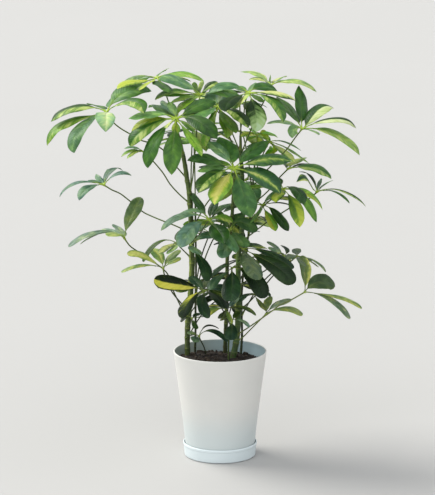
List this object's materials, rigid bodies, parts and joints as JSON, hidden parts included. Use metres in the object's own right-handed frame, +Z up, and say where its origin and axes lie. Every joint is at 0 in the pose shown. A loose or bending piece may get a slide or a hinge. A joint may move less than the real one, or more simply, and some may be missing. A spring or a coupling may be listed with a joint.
{
  "type": "potted umbrella plant",
  "caption": "Leafy variegated umbrella plant with whorled leaflets on long stalks, growing in soil in a plain tapered pot on a round saucer.",
  "frame": {"origin": "centre of the saucer's flat underside, on the pot's axis", "axes": "+Z up along the pot's axis, -Y towards the front of the plant, +X to the right seen from the front"},
  "size_m": [0.5231, 0.3619, 0.6413],
  "materials": {
    "pot_plastic": "satin white moulded plastic",
    "saucer_plastic": "satin white moulded plastic",
    "soil": "loose dark brown potting mix, crumbly and matte",
    "stem": "smooth olive green stem, satin",
    "leaf_dark": "leathery dark green leaf, semi-gloss top",
    "leaf_mid": "leathery mid green leaf with yellow-green patches, semi-gloss top",
    "leaf_pale": "leathery yellow-green leaf, semi-gloss top"
  },
  "bodies": {
    "root": {"saucer": "saucer_plastic", "pot": "pot_plastic", "soil": "soil", "stem_left": "stem", "stem_left_thin": "stem", "stem_centre": "stem", "stem_right": "stem", "stem_right_thin": "stem", "stem_shoot": "stem", "leaf_front_01": "leaf_dark", "leaf_front_02": "leaf_dark", "leaf_left_01": "leaf_mid", "leaf_right_01": "leaf_mid", "leaf_front_03": "leaf_dark", "leaf_back_01": "leaf_dark", "leaf_centre_01": "leaf_dark", "leaf_right_02": "leaf_mid", "leaf_centre_02": "leaf_dark", "leaf_front_04": "leaf_dark", "leaf_back_02": "leaf_dark", "leaf_back_03": "leaf_dark", "leaf_left_02": "leaf_mid", "leaf_front_05": "leaf_dark", "leaf_right_03": "leaf_dark", "leaf_right_04": "leaf_dark", "leaf_back_04": "leaf_dark", "leaf_left_03": "leaf_dark", "leaf_front_06": "leaf_dark", "leaf_left_04": "leaf_dark", "leaf_left_05": "leaf_mid", "leaf_back_05": "leaf_dark", "leaf_back_06": "leaf_dark", "leaf_front_07": "leaf_dark", "leaf_front_08": "leaf_mid", "leaf_centre_03": "leaf_dark", "leaf_back_07": "leaf_dark", "leaf_right_05": "leaf_mid", "leaf_right_06": "leaf_dark", "leaf_left_06": "leaf_mid", "leaf_back_08": "leaf_dark", "leaf_right_07": "leaf_dark", "leaf_front_09": "leaf_dark", "leaf_back_09": "leaf_dark", "leaf_left_07": "leaf_mid", "leaf_right_08": "leaf_dark", "leaf_back_10": "leaf_dark", "leaf_centre_04": "leaf_pale", "leaf_back_11": "leaf_mid", "leaf_right_09": "leaf_mid", "leaf_back_12": "leaf_dark", "leaf_left_08": "leaf_mid", "leaf_back_13": "leaf_dark", "leaf_left_09": "leaf_mid", "leaf_front_10": "leaf_mid", "leaf_centre_05": "leaf_mid", "leaf_centre_06": "leaf_dark", "leaf_back_14": "leaf_mid", "leaf_left_10": "leaf_dark"}
  },
  "joints": []
}
